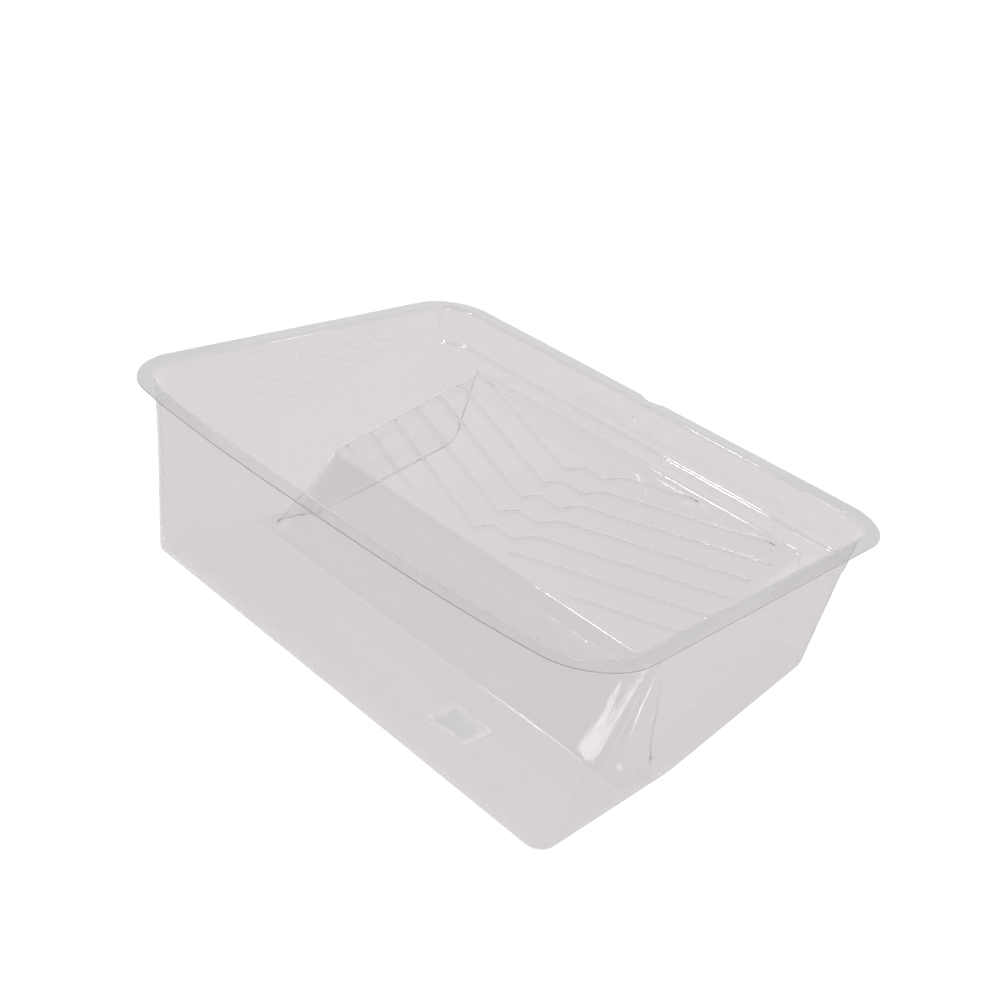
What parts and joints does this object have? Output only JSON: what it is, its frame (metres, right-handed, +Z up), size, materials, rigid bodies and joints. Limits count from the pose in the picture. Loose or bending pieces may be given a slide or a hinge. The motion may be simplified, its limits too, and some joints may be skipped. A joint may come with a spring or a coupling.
{
  "type": "paint roller tray",
  "caption": "Clear formed-plastic paint tray with a deep front well, a raised ramp with chevron ribs, side channels and a flat rim flange.",
  "frame": {"origin": "middle of the bounding box's base, on the underside of the flat well floor", "axes": "+X along the well, which is the roller's axis; +Y from the well towards the top of the ramp; +Z up, square to the rim flange"},
  "size_m": [0.4, 0.318, 0.1387],
  "materials": {
    "clear_sheet": "glossy clear PET sheet, faintly grey, with softly wavy walls",
    "label_film": "translucent grey adhesive film with a semi-matt face"
  },
  "bodies": {
    "root": {"tray_shell": "clear_sheet", "floor_label": "label_film"}
  },
  "joints": []
}
